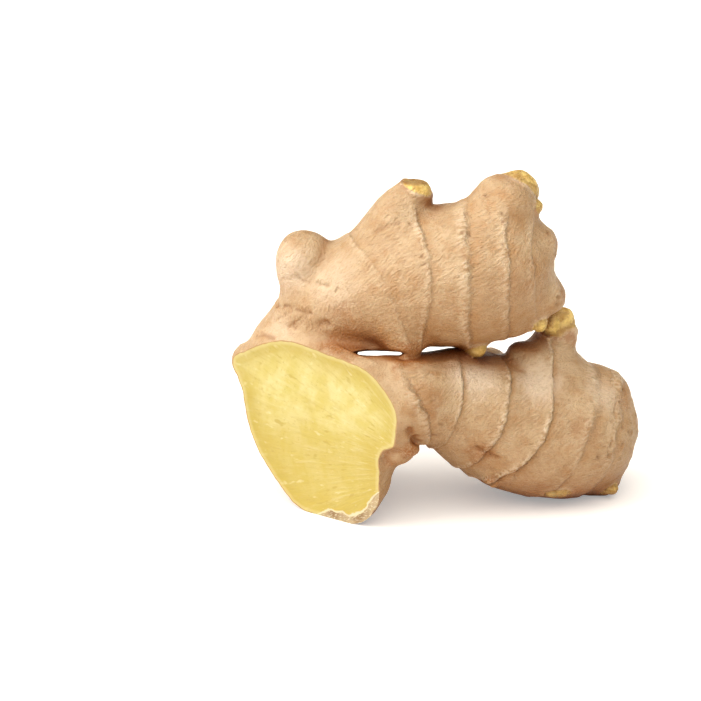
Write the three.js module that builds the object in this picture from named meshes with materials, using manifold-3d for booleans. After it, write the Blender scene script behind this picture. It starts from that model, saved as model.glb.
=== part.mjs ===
// Ginger root: a fresh rhizome with two thick fingers, cut across its mother piece.
// Units are millimetres, +Z is up, and the root lies on the plane Z = 0.
import * as THREE from 'three';
import { mergeVertices } from 'three/addons/utils/BufferGeometryUtils.js';
import Module from 'manifold-3d';

const wasm = await Module();
wasm.setup();

// Growth rings: each stretch of a sprout swells towards its ring, then drops back across a lip.
// The first ring and the spacing are lengths along the sprout.
const RING_STEP = 0.9;
const RING_LIP = 0.8;
const UPPER_RINGS = { first: 37, spacing: 13.5 };
const LOWER_RINGS = { first: 15.5, spacing: 16.7 };
const KNOB_RINGS = { first: 5, spacing: 7 };
const NO_RINGS = { first: Infinity, spacing: Infinity };

// The cut across the mother piece is an upright plane, turned to the front left.
const CUT_POINT = new THREE.Vector3(-31.5, -20, 0);
const CUT_TURN = THREE.MathUtils.degToRad(32);

// Facets round each kind of sprout, loops in each domed end, and the longest gap between loops.
const FINGER_SIDES = 34;
const KNOB_SIDES = 18;
const BUD_SIDES = 8;
const CAP_LOOPS = 4;
const LOOP_GAP = 7;

// Side of a cutting block, larger than the whole root.
const BLOCK_SIDE = 400;

// A sprout follows stations of [x, y, z, radius] from its hidden base to its tip.
const MOTHER_TOP = [
  [-62, 5.2, 48, 7],
  [-45.4, -0.7, 43.5, 17.5],
  [-27.4, -12, 37, 21.5],
];
const MOTHER_BELLY = [
  [-51, 2, 41, 14],
  [-43.4, -3.1, 29, 20],
  [-39, -9.4, 13.5, 14.8],
];
const MOTHER_FOOT = [
  [-40.5, -4.5, 36, 18],
  [-32.7, -11.6, 23, 18.2],
  [-32.8, -19.2, 13.8, 14.6],
];
const SHOULDER = [
  [-50, 7, 46, 10.5],
  [-54.8, 7, 53, 8.2],
];
const BACK_LOBE = [
  [-32, -4, 30, 15],
  [-34, 12.5, 11, 12],
];
const FRONT_LOBE = [
  [-31.5, -12, 27.5, 12],
  [-19.4, -17.6, 27, 8.5],
  [-15.5, -21.8, 28.2, 6.3],
];
const UPPER_FINGER = [
  [-50, 10, 41.5, 14],
  [-46.5, 8, 53.5, 13.8],
  [-32.5, 5, 69, 18.5],
  [-13.5, 1, 76.7, 21.3],
  [4.5, -1, 79.5, 23],
  [15, -2, 81, 21],
];
const LOWER_FINGER = [
  [-31.5, -5, 35.5, 16],
  [-14, -14, 41.5, 15],
  [0, -9.5, 38, 16.2],
  [13.5, -4.5, 32, 20.3],
  [27.5, 1, 26.5, 23],
  [40, 5, 23.5, 24],
  [46.4, 6, 22, 21.8],
];
const RINGED_KNOBS = [
  [[-16, 1, 86.5, 14.5], [-14.5, 1, 97.5, 10], [-11.5, 1.5, 104, 6]],
  [[17, -2, 91.5, 15], [19.5, -1.5, 100, 11.5], [20.5, -1.5, 104.5, 9.6]],
  [[36, 5, 38, 15], [39, 6, 50.5, 8.5], [40.5, 7, 58.5, 5.8]],
  [[4, 6, 78, 17], [2, 19.5, 84, 10.5], [1, 23, 87, 6.8]],
];
const PLAIN_KNOBS = [
  [[-38, 5, 69.5, 12], [-43.5, 5, 79, 10], [-44, 4.5, 83.2, 9.5]],
  [[23, -3, 87, 11], [30.5, -4, 90.5, 6.5]],
  [[23, -3, 77, 11], [33, -4.5, 74, 7]],
  [[-12.5, -8, 67, 9], [-12.5, -13, 61, 4.8]],
  [[9.5, -4, 68, 10], [10, -6, 61, 5], [11.5, -7.5, 57.5, 3]],
  [[51, 6, 31, 14], [55, 5, 34.5, 9]],
  [[50.5, 6, 13, 13], [56, 5, 8, 9]],
  [[-40, 4, 42, 15], [-43, 18, 45, 9.5], [-44, 22, 47, 7]],
  [[22, 10, 32, 12], [19, 21.5, 39.5, 6]],
];
const BUDS = [
  [[-11, 1.5, 104, 5.5], [-9.6, 0.8, 105.4, 5.2]],
  [[21, -3, 106.5, 7.2], [25.2, -4, 107.8, 5.6]],
  [[27, -4, 102, 3.2], [29.8, -5, 103, 2.4]],
  [[27, -5, 68, 4], [30.5, -6.5, 66, 2.5]],
  [[39.5, 6, 59.5, 4.8], [37.5, 4.5, 61, 4]],
  [[42.5, 4.5, 55.5, 3.5], [44.5, 3, 57, 2.6]],
  [[-12.5, -24, 30, 3], [-10.5, -25.5, 29.5, 2.3]],
  [[18, -14, 15.5, 3], [17.5, -17, 13, 2]],
  [[39, -10.5, 9.5, 4], [39, -13, 7.5, 3]],
  [[1, 23, 87.2, 5.5], [0.8, 24.8, 89, 4.6]],
  [[19, 21.5, 39.5, 4.5], [18.5, 24.5, 41.5, 3.5]],
];

// Positions of a sprout's loops along its axis: even steps, domed ends, and both sides of each ring.
function loopStops(total, baseRadius, tipRadius, rings) {
  const stops = [];
  for (let loop = 1; loop < CAP_LOOPS; loop += 1) {
    const reach = Math.cos((loop / CAP_LOOPS) * (Math.PI / 2));
    stops.push(-baseRadius * reach, total + tipRadius * reach);
  }
  const steps = Math.ceil(total / LOOP_GAP);
  for (let step = 0; step <= steps; step += 1) {
    stops.push((total * step) / steps);
  }
  for (let ring = rings.first; ring < total + tipRadius / 2; ring += rings.spacing) {
    stops.push(ring - RING_LIP / 2, ring + RING_LIP / 2);
  }
  return stops.sort((one, other) => one - other);
}

// Swelling at a position on a ringed sprout: none just past a ring, most just before the next.
function ringSwell(position, rings) {
  const turns = (position - rings.first) / rings.spacing;
  const share = THREE.MathUtils.euclideanModulo(turns, 1);
  return turns > -1 ? RING_STEP * share * share : 0;
}

// A closed skin over round loops, drawn to a point at each end.
function skinOverLoops(loops, sides, basePoint, tipPoint) {
  const positions = [];
  for (const { centre, side, rise, radius } of loops) {
    for (let corner = 0; corner < sides; corner += 1) {
      const angle = (2 * Math.PI * corner) / sides;
      const point = centre.clone()
        .addScaledVector(side, radius * Math.cos(angle))
        .addScaledVector(rise, radius * Math.sin(angle));
      positions.push(...point.toArray());
    }
  }
  const base = loops.length * sides;
  const tip = base + 1;
  positions.push(...basePoint.toArray(), ...tipPoint.toArray());

  const indices = [];
  for (let corner = 0; corner < sides; corner += 1) {
    const next = (corner + 1) % sides;
    const last = (loops.length - 1) * sides;
    indices.push(base, next, corner, tip, last + corner, last + next);
    for (let row = 0; row < last; row += sides) {
      indices.push(row + corner, row + next, row + sides + next);
      indices.push(row + corner, row + sides + next, row + sides + corner);
    }
  }
  const geometry = new THREE.BufferGeometry();
  geometry.setAttribute('position', new THREE.Float32BufferAttribute(positions, 3));
  geometry.setIndex(indices);
  return geometry;
}

// A swollen sprout along smooth stations, with a domed cap on each end.
function sprout(stations, sides, rings = NO_RINGS) {
  const points = stations.map(([x, y, z]) => new THREE.Vector3(x, y, z));
  const radii = stations.map(([, , , radius]) => new THREE.Vector3(radius, 0, 0));
  const spine = new THREE.CatmullRomCurve3(points, false, 'catmullrom');
  const girth = new THREE.CatmullRomCurve3(radii, false, 'catmullrom');
  const total = spine.getLength();
  const chord = points.at(-1).clone().sub(points[0]).normalize();
  const across = Math.abs(chord.y) > Math.SQRT1_2 ? new THREE.Vector3(0, 0, 1) : new THREE.Vector3(0, 1, 0);

  const loopAt = (position) => {
    const inner = THREE.MathUtils.clamp(position, 0, total);
    const share = inner / total;
    const beyond = position - inner;
    const tangent = spine.getTangentAt(share);
    const side = new THREE.Vector3().crossVectors(tangent, across).normalize();
    const rise = new THREE.Vector3().crossVectors(tangent, side);
    const girthHere = girth.getPoint(spine.getUtoTmapping(share)).x;
    const dome = Math.sqrt(1 - (beyond / girthHere) ** 2);
    return {
      centre: spine.getPointAt(share).addScaledVector(tangent, beyond),
      side,
      rise,
      radius: (girthHere + ringSwell(position, rings)) * dome,
    };
  };
  const baseRadius = radii[0].x;
  const tipRadius = radii.at(-1).x;
  const loops = loopStops(total, baseRadius, tipRadius, rings).map(loopAt);
  const basePoint = points[0].clone().addScaledVector(spine.getTangentAt(0), -baseRadius);
  const tipPoint = points.at(-1).clone().addScaledVector(spine.getTangentAt(1), tipRadius);
  return solidFrom(skinOverLoops(loops, sides, basePoint, tipPoint));
}

// A solid for joining and cutting, from a closed geometry.
function solidFrom(geometry) {
  geometry.deleteAttribute('normal');
  geometry.deleteAttribute('uv');
  const merged = mergeVertices(geometry);
  return new wasm.Manifold(new wasm.Mesh({
    numProp: 3,
    vertProperties: merged.attributes.position.array,
    triVerts: new Uint32Array(merged.index.array),
  }));
}

// A block with one face on the plane through a point, lying on the side that the normal points to.
function blockBeyond(point, normal) {
  const geometry = new THREE.BoxGeometry(BLOCK_SIDE, BLOCK_SIDE, BLOCK_SIDE);
  geometry.translate(0, 0, BLOCK_SIDE / 2);
  geometry.applyQuaternion(new THREE.Quaternion().setFromUnitVectors(new THREE.Vector3(0, 0, 1), normal));
  geometry.translate(point.x, point.y, point.z);
  return solidFrom(geometry);
}

// The sprouts grown together, then cut across the mother piece and worn flat where the root rests.
function rhizomeGeometry() {
  const sprouts = [
    sprout(MOTHER_TOP, FINGER_SIDES),
    sprout(MOTHER_BELLY, FINGER_SIDES),
    sprout(MOTHER_FOOT, FINGER_SIDES),
    sprout(SHOULDER, KNOB_SIDES),
    sprout(BACK_LOBE, FINGER_SIDES),
    sprout(FRONT_LOBE, KNOB_SIDES),
    sprout(UPPER_FINGER, FINGER_SIDES, UPPER_RINGS),
    sprout(LOWER_FINGER, FINGER_SIDES, LOWER_RINGS),
    ...RINGED_KNOBS.map((stations) => sprout(stations, KNOB_SIDES, KNOB_RINGS)),
    ...PLAIN_KNOBS.map((stations) => sprout(stations, KNOB_SIDES)),
    ...BUDS.map((stations) => sprout(stations, BUD_SIDES)),
  ];
  const grown = sprouts.reduce((whole, next) => whole.add(next));
  const cutNormal = new THREE.Vector3(-Math.sin(CUT_TURN), -Math.cos(CUT_TURN), 0);
  const rested = grown
    .subtract(blockBeyond(CUT_POINT, cutNormal))
    .subtract(blockBeyond(new THREE.Vector3(0, 0, 0), new THREE.Vector3(0, 0, -1)));

  const { vertProperties, triVerts } = rested.getMesh();
  const geometry = new THREE.BufferGeometry();
  geometry.setAttribute('position', new THREE.BufferAttribute(vertProperties, 3));
  geometry.setIndex(new THREE.BufferAttribute(triVerts, 1));
  geometry.computeVertexNormals();
  return geometry;
}

const skin = new THREE.MeshStandardMaterial({ color: '#d3ae82', roughness: 0.62, metalness: 0 });
const rhizome = new THREE.Mesh(rhizomeGeometry(), skin);
rhizome.name = 'rhizome';

const gingerRoot = new THREE.Group();
gingerRoot.add(rhizome);

export default gingerRoot;
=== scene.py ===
# Fresh ginger root: a two-fingered rhizome, cut across its mother piece, lying on a pale floor.
import math

import bmesh
import bpy
import numpy as np
import openvdb
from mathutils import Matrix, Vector
from mathutils.geometry import delaunay_2d_cdt


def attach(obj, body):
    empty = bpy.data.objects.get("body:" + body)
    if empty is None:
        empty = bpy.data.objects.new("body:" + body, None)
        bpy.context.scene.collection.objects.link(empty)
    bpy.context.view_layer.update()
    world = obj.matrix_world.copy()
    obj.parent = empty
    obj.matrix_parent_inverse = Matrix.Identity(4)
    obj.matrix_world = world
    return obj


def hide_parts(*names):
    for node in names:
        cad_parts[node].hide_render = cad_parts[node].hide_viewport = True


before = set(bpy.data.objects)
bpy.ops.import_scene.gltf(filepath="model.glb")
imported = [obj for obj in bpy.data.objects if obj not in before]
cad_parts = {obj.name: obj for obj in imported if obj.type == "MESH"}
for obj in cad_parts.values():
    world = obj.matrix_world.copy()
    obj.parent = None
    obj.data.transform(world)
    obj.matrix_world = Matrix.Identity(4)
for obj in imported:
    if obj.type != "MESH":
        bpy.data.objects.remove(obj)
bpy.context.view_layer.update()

# Lengths are in millimetres until the mesh is scaled to metres.
MM = 0.001

# The field that the shoots are melted together in: its cell, its corners, a far distance, and the room
# kept round each shoot.
CELL = 0.74
FIELD_LOW = np.array([-74.0, -38.0, -6.0])
FIELD_HIGH = np.array([74.0, 38.0, 119.0])
FIELD_COUNT = np.ceil((FIELD_HIGH - FIELD_LOW) / CELL).astype(int)
FAR = 30.0
FIELD_ROOM = 3

# Large odd numbers that scramble the cells of the soft noise.
NOISE_MIX = np.array([73856093, 19349663, 83492791])
NOISE_SEED_MIX = 2654435761
NOISE_STIRS = ((13, 1274126177), (16, 668265263))

# How softly neighbouring pieces of a spine share the skin over them, and a way that no spine takes.
SPINE_SOFTNESS = 1.0
SIDE_HINT = [0.28, 0.77, 0.57]

# How softly each kind of shoot melts into the rest.
WIDE_FILLET = 5
FINGER_FILLET = 4
KNOB_FILLET = 3.5
SMALL_FILLET = 3
MOTHER_FILLET = 2.5
LOBE_FILLET = 1.2
BUD_FILLET = 0.8
CROTCH_FILLET = 1.0
HOLLOW_FILLET = 1.0
SLOT_FILLET = 0.8

# The mother piece is cut across by an upright plane. The triangles of the cut face have a pitch, rows
# at a share of that pitch, and a clear distance from the rim.
CUT_POINT = np.array([-31.5, -20.0, 0.0])
CUT_TURN = math.radians(32)
CUT_OUT = np.array([-math.sin(CUT_TURN), -math.cos(CUT_TURN), 0.0])
CUT_SIDE = np.array([math.cos(CUT_TURN), -math.sin(CUT_TURN), 0.0])
CUT_PITCH = 0.9
CUT_ROW = 0.866
CUT_CLEAR = 0.55
CUT_TOLERANCE = 0.0001

# Growth rings: the height of a step, the width of a lip, the gap past the end rings, where a ring's marks
# fade out, and the ways up and to the front across a shoot.
RING_STEP = 0.62
RING_LIP = 0.7
RING_GAP = 14.0
RING_BAND = (2.8, 1.8)
RING_UP = np.array([0.804, -0.595])
RING_FRONT = np.array([0.595, 0.804])

# Each ring is its length along the shoot's spine, its strength, and how far it leans along the shoot
# for each millimetre up and to the front.
UPPER_RINGS = [
    (21, 0.3, 0, 0), (51.5, 0.45, -0.325, 0.145), (60.5, 0.8, -0.08, 0.335), (75.2, 0.8, 0.01, 0.065),
    (81.4, 0.75, 0, 0.1), (90, 0.45, 0.04, 0.03), (97, 0.4, 0, 0),
]
LOWER_RINGS = [
    (28.5, 1.0, -0.346, -0.256), (39.5, 1.15, -0.08, -0.06), (54.6, 1.15, 0, 0), (65, 1.35, 0.2, 0.15),
    (78.6, 0.65, 0.14, 0.104), (85.3, 0.6, 0.024, 0.018), (92, 0.5, 0, 0), (98, 0.5, 0, 0),
]
KNOB_RINGS = [(14, 0.5, 0, 0), (20, 0.4, 0, 0)]
MOTHER_RINGS = [(8, 0.5, 0, 0), (19, 0.5, 0, 0), (31, 0.5, 0, 0)]

# The mother piece's line of growth, as distances out of the cut and heights, and the shift that keeps
# the grain of one shoot from matching the next.
MOTHER_LINE = ((12, 30), (-50, 34))
GRAIN_SHIFT = 100

# Skin belongs to one shoot alone, or to the upper finger and not its knobs, between these gaps.
OWN_GAP = (0.3, 5.0)
KNOB_GAP = (6.0, 1.5)

# Shoots, each a row of stations [x, y, z, radius] along its spine.
MOTHER_TOP = [[-62, 5.2, 47.2, 6.8], [-45.4, -0.7, 43.5, 17.5], [-27.4, -12, 37, 21.5]]
MOTHER_BELLY = [[-51, 2, 41, 14], [-43.4, -3.1, 29, 20], [-39, -9.4, 13.5, 14.8]]
MOTHER_FOOT = [[-40.5, -4.5, 36, 18], [-32.7, -11.6, 23, 18.2], [-32.8, -19.2, 13.8, 14.6]]
SHOULDER = [[-50, 7, 46, 10.5], [-54.2, 7, 52.3, 7.6]]
BACK_LOBE = [[-32, -4, 30, 15], [-34, 12.5, 11, 12]]
FRONT_LOBE = [[-31.5, -10, 27.5, 11], [-18.6, -15.6, 27, 8.4], [-14.6, -20.4, 28, 6.4]]
LOBE_NUB = [[-11.8, -23, 29.5, 3.4], [-9.8, -24.2, 28.6, 2.4]]
UPPER_FINGER = [
    [-50, 10, 41.5, 14], [-46.5, 8, 53.5, 13.8], [-32.3, 5, 68.2, 17.3],
    [-13.5, 1, 76.7, 21.3], [4.5, -1, 79.5, 23], [15, -2, 81, 21],
]
LOWER_FINGER = [
    [-31.5, -5, 35.5, 16], [-14, -14, 41.5, 15], [0, -9.5, 39, 15.3], [13.5, -4.5, 33, 19.3],
    [27.5, 1, 26.5, 23], [40, 5, 23.5, 24], [46.1, 6, 22, 21.6],
]
UPPER_BROAD_KNOBS = [
    [[-38, 5, 69.5, 12], [-44, 5, 79, 9.8], [-44.7, 4.5, 83.3, 9.4]],
    [[-16, 1, 86.5, 14.5], [-13.4, 1, 97.2, 10], [-10.6, 1.5, 103.8, 6.7], [-9.2, 1, 105.6, 6]],
    [[17, -2, 91.5, 15], [19.5, -2.3, 98.5, 11.6], [20.4, -3.6, 102.6, 9.6]],
]
UPPER_BACK_KNOB = [[4, 6, 78, 17], [2, 19.5, 84, 10.5], [1, 23, 87, 6.8]]
UPPER_SMALL_KNOBS = [
    [[23, -3, 87, 11], [30.5, -4, 90.5, 6.5]],
    [[23, -3, 77, 11], [33, -4.5, 74, 7]],
    [[-12.5, -8, 67, 10], [-11.8, -12, 61.5, 6.5], [-11.6, -13.5, 57.2, 3.8]],
    [[9.5, -4, 68, 10], [10, -6, 61, 5.2]],
    [[14, -3, 70, 11], [22, -4, 68, 8.6], [28, -5, 68.5, 5.8]],
    [[12.2, -2, 95, 9.5], [16.6, -1, 106, 6.6]],
]
LOWER_BROAD_KNOB = [[35.5, 5, 38, 14.8], [37.4, 6, 50.5, 7.5], [39.4, 6.5, 57, 5.4]]
LOWER_SMALL_KNOBS = [
    [[51, 6, 31, 14], [55.4, 5, 35.2, 9.2]],
    [[50, 6, 13, 12.4], [54.6, 5, 8, 8.9]],
    [[40.8, 5.5, 54, 4], [42.3, 5, 57.6, 2.5]],
    [[-4, -10, 45.8, 8.5], [4.5, -7.8, 47.4, 8.5]],
    [[30, 0, 47.5, 8], [26, -1, 52, 4]],
    [[18.2, -14.5, 15.5, 3], [17.4, -17.2, 13.2, 1.9]],
]
LOWER_BACK_KNOB = [[22, 10, 32, 12], [19, 21.5, 39.5, 6]]
MOTHER_KNOB = [[-40, 4, 42, 15], [-43, 18, 45, 9.5], [-44, 22, 47, 7]]
BUDS = [
    [[21.6, 0.5, 106, 6.9], [24.1, 0.8, 107, 6.5]],
    [[26.5, -4, 102, 3.2], [29, -5, 103.3, 2.4]],
    [[10.2, -6.8, 60, 4], [11.3, -8, 57.4, 3.5]],
    [[29.5, -6, 66.6, 3], [31.5, -8.5, 65.4, 2.5]],
    [[40, 6.5, 57.5, 5], [40.8, 6, 62, 3.9]],
    [[39, 5, 58.5, 4], [36.8, 3, 61.3, 3]],
    [[37.2, -11.9, 8.8, 3], [41, -11.7, 8.6, 2.7]],
    [[56.2, -1.4, 4.6, 2.6], [58.6, -2.2, 4.2, 2.3]],
    [[1, 23, 87.2, 5.5], [0.8, 24.8, 89, 4.6]],
    [[19, 21.5, 39.5, 4.5], [18.5, 24.5, 41.5, 3.5]],
]

# One knob ends in a bud that has dried flat: its top and its lower edge, each a middle and a way up.
FLAT_TOP = ([-9.5, 1, 110.2], [0.03, 0, 0.999])
FLAT_EDGE = ([-9, 1, 108.6], [0.38, -0.1, 0.92])
FLAT_REACH = 10.0

# Length of a bud's scales, as a share of its radius, how far their edges lean and wave, and how far
# they stand up.
BUD_SCALE = 0.62
BUD_LEAN = 0.3
BUD_WAVE = 0.1
BUD_STEP = 0.45

# The gap between the fingers runs on into the crotch: height at the middle, fall to the back,
# half width, and where along the fingers it opens and closes.
CROTCH_SLOT = (52.0, -0.364, 0.9)
CROTCH_OPENS = (-31.0, -24.0)
CROTCH_CLOSES = (-11.0, -14.0)

# Hollows that step the right edge of the cut in: across the face, up, behind it, and radius.
HOLLOWS = [(19.3, 24.5, 0.0, 6.5), (24.5, 18.0, 5.0, 10.5), (13.4, 11.5, 20.1, 12.0)]

# Torn skin along the foot of the cut face: its width, where it begins across the face and ends above
# the floor, the slant of its fibres, and how far off it the flesh counts as clear.
TORN_WIDTH = 2.8
TORN_ACROSS = (-14.0, -5.0)
TORN_UP = (16.0, 11.0)
TORN_SLANT = math.radians(31)
TORN_CLEAR = 1.6

# Creases and folds in the skin: path, width and depth. A depth below 0 is a ridge.
CREASES = [
    (
        [[-50.6, -1.5, 78.5], [-46.5, -4.5, 80], [-44.5, -5, 78.7], [-39.5, -10.2, 79.7],
         [-37.2, -11.1, 79.1]], 0.8, 0.45,
    ),
    ([[-54.5, 3.5, 67.3], [-50.7, -2.6, 69.7], [-45.9, -7.9, 69], [-43.3, -9.8, 69]], 0.9, 0.7),
    ([[-49.8, -5.6, 63], [-46.8, -7.6, 66.1], [-44.8, -8.9, 68.7]], 0.7, 0.5),
    ([[-47.4, -7.2, 62.8], [-45, -8.7, 66.2], [-43.2, -9.8, 69]], 0.7, 0.5),
    ([[-53.2, -1.8, 64.7], [-51.3, -3.5, 66.6], [-48.9, -5.4, 68.5]], 0.7, 0.4),
    ([[-39.2, -11.7, 66.1], [-37.8, -12.6, 67], [-37, -12.6, 65.8]], 1.0, 0.9),
    ([[-34.8, -13.1, 77.8], [-34.1, -13, 79.1]], 0.7, 0.5),
    ([[-60.5, 2.9, 56.9], [-57.5, 0.8, 57.3], [-54.4, -2.6, 57.6], [-53.5, -3.5, 57]], 0.8, 0.5),
    ([[-21.5, -8.3, 95.8], [-17.8, -9, 98.3], [-14.6, -8.5, 98.9]], 1.2, 0.35),
    ([[-7.2, -20, 88.4], [-5.5, -20.1, 89.2]], 0.6, 0.5),
    ([[-8, -26.3, 33], [-4.8, -26.1, 32.8], [-1.8, -25.3, 31.8]], 0.9, 0.5),
    ([[-0.9, -27, 36.9], [1, -26.4, 36]], 0.6, 0.4),
    ([[11.6, -24.1, 27.5], [14.7, -23.5, 25.6], [17.8, -22.8, 24.1]], 0.9, 0.9),
    ([[-11.2, -27.8, 36.6], [-9.6, -26.5, 33.3], [-8, -24.6, 30.5]], 1.2, 1.5),
    ([[31, -22, 23.9], [26.6, -21.6, 20.2], [23.9, -20.1, 16.7], [23.2, -15.9, 10.8]], 0.5, 0.4),
    ([[58.6, -2.4, 38.2], [57.3, -9.1, 33.3]], 0.5, 0.4),
    ([[56.1, -13, 26.4], [54.8, -14, 22.6]], 0.5, 0.5),
    ([[17, -18.7, 16.2], [18.5, -19, 16.1], [19.8, -18.2, 14.7]], 0.7, 0.5),
    ([[-38, 22, 60], [-32, 23, 63], [-27, 22, 64.5]], 0.8, 0.5),
    ([[25, 24, 36], [30, 26, 33.5], [35, 27, 33]], 0.7, 0.5),
    ([[-36, 18, 28], [-31, 19, 25.5], [-27, 18, 25]], 0.9, 0.6),
    ([[66, 2, 34], [67, 6, 35], [66, 10, 34]], 0.7, 0.5),
    ([[67, -1, 19], [67.5, 3, 17.5], [67, 6, 17.5]], 0.7, 0.5),
    ([[36, -1, 73], [36.5, 2, 71.5], [35.5, 5, 72]], 0.7, 0.5),
    ([[-16, -19.4, 55.2], [-10.3, -18.2, 55.1], [-4.8, -17.3, 55], [2.8, -13.6, 54.2]], 1.2, -0.4),
]

# Pits left by fallen rootlets.
PITS = [
    [60.7, -8.9, 29.2], [62.5, -7.5, 27], [63.9, -6.1, 26], [60.5, -10.4, 23.7], [59.8, -10.6, 18.4],
    [63.6, -4.7, 29.5], [59.4, 2.6, 41.9], [60.6, -0.3, 38.9], [59.3, -4.9, 36.2], [50.9, -15.2, 21.6],
    [55, -14, 21.5], [-10.7, -9, 98.6], [-7.7, -15.6, 94.3], [-6.7, -18.8, 90.7], [13.7, -7.7, 107.2],
    [18, -12.4, 102.8], [18, -13.2, 100.7], [17.8, -18.5, 94.7], [5.7, -15.5, 97.2], [8, -15.6, 97],
    [33.4, -7.4, 95], [34.9, -8.1, 88.6], [36.5, -10.3, 75], [36.6, -10.3, 73.1],
    [66, 0, 30], [67, 8, 29], [67.5, 3, 22], [66.5, 12, 18], [66, -2, 15], [65, 8, 12], [64, 16, 27],
    [36.5, 2, 84], [37, -1, 80], [36, 5, 77], [34, 8, 86], [-30, 24, 60], [-20, 22, 74], [20, 20, 80],
    [10, 22, 66], [40, 28, 30], [30, 27, 20], [50, 26, 24], [-40, 20, 30], [-52, 14, 44], [-48, 14, 62],
]

# Rough flaky patches of old skin: middle and radius.
FLAKES = [
    ([-50, -4, 64], 8), ([-58, 1.5, 57], 5), ([-44, -9, 68], 4), ([-11, -25, 28], 5), ([-24, -26, 8], 6),
    ([60, -9, 24], 6), ([16, -20, 16], 6), ([-40, 22, 50], 7), ([10, 20, 70], 8),
]

# Brown marks, partly real stains and partly painted shade under the upper finger and in the crotch, and
# painted highlights of pale skin: middle, radius and strength.
STAINS_AND_SHADE = [
    ([-11.8, -16, 57.5], 9, 1.0), ([-31, -12, 58.5], 11, 0.85), ([32.9, -16.7, 11.9], 6, 0.6),
    ([28.7, -18.3, 14.4], 5, 0.55), ([12.4, -23.5, 24.5], 8, 0.75), ([46.8, -17.7, 30.2], 9, 0.3),
    ([43, 2, 56.5], 4, 0.5), ([35.8, -5, 92], 4, 0.5), ([37.8, -7, 74], 4, 0.5), ([11, -9, 57], 6, 0.85),
    ([17.4, -17.5, 13.5], 4, 0.85), ([-11.5, -24.5, 28.5], 6, 0.95), ([-16, -22, 26], 9, 0.6),
    ([62, -3, 36], 6, 0.4), ([27, -1, 56], 5, 0.7),
    ([0, -22, 66], 17, 0.4), ([-31, -14, 66], 12, 0.45), ([-6, -24, 44], 9, 0.4), ([24, -20, 78], 15, 0.35),
    ([-44, 24, 48], 6, 0.4), ([30, 24, 30], 9, 0.35), ([67, 4, 21], 10, 0.35), ([36, 2, 76], 8, 0.35),
]
PAINTED_HIGHLIGHTS = [
    ([-50, -4, 82], 12, 0.95), ([-36, -12, 80], 15, 0.5), ([-53, -4, 62], 8, 0.4), ([10, -15, 51], 13, 1.0),
    ([32, -12, 46], 11, 0.95), ([54, -6, 40], 9, 0.7), ([0, 24, 90], 12, 0.4), ([30, 22, 42], 12, 0.4),
]

# Soft unevenness: height, grain along the three axes and seed.
RING_WOBBLE = [(0.6, (9, 9, 30), 3), (0.35, (2.2, 2.2, 12), 4)]
LUMPS = [(0.42, (14, 14, 14), 21), (0.22, (6, 6, 6), 22)]
WRINKLES = [(0.13, (1.9, 1.9, 12), 31), (0.07, (1.2, 1.2, 5), 32)]
MOTTLE = [(1, (2.2, 2.2, 2.2), 52), (0.6, (0.9, 0.9, 0.9), 53)]

# Heights and depths of the small relief.
LIP_HEIGHT = 0.16
SHEATH_HEIGHT = 0.55
BUD_GRAIN = 0.12
FLAKE_HEIGHT = 0.25
FLAKE_SINK = 0.15
PIT_LIP = 0.3
PIT_DEPTH = 0.35
FLESH_SINK = 0.35
TORN_SLOPE = 0.12
TORN_FRAY = 0.5

# Radius and darkness of the pits are drawn between these.
PIT_SEED = 8
PIT_SIZES = (0.5, 0.85)
PIT_DARKNESS = (0.4, 1.0)

# Undersides get this much painted shade, and painted crevice shade is felt for at these distances.
UNDER_SHADE = 0.45
SHADE_REACHES = (1.5, 3.0, 6.0, 11.0, 18.0)


def smooth_step(low, high, values):
    """Rise from 0 to 1 between two limits."""
    share = np.clip((values - low) / (high - low), 0, 1)
    return share * share * (3 - 2 * share)


def soft_noise(places, seed):
    """Smooth random values from -1 to 1 with a grain of about one unit."""
    cell = np.floor(places).astype(np.int64)
    part = smooth_step(0, 1, places - cell)
    total = np.zeros(len(places))
    for corner in np.ndindex(2, 2, 2):
        spot = cell + corner
        mixed = spot @ NOISE_MIX + seed * NOISE_SEED_MIX
        for shift, factor in NOISE_STIRS:
            mixed = (mixed ^ (mixed >> shift)) * factor
        value = ((mixed >> 9) & 0xFFFF) / 32767.5 - 1
        total += value * np.prod(np.where(corner, part, 1 - part), axis=1)
    return total


def unevenness(places, layers):
    """Soft noise of several grains, added up."""
    return sum(height * soft_noise(places / np.array(grain), seed) for height, grain, seed in layers)


def bell(values, middle, width):
    """A soft hump of height 1."""
    return np.exp(-(((values - middle) / width) ** 2))


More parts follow.
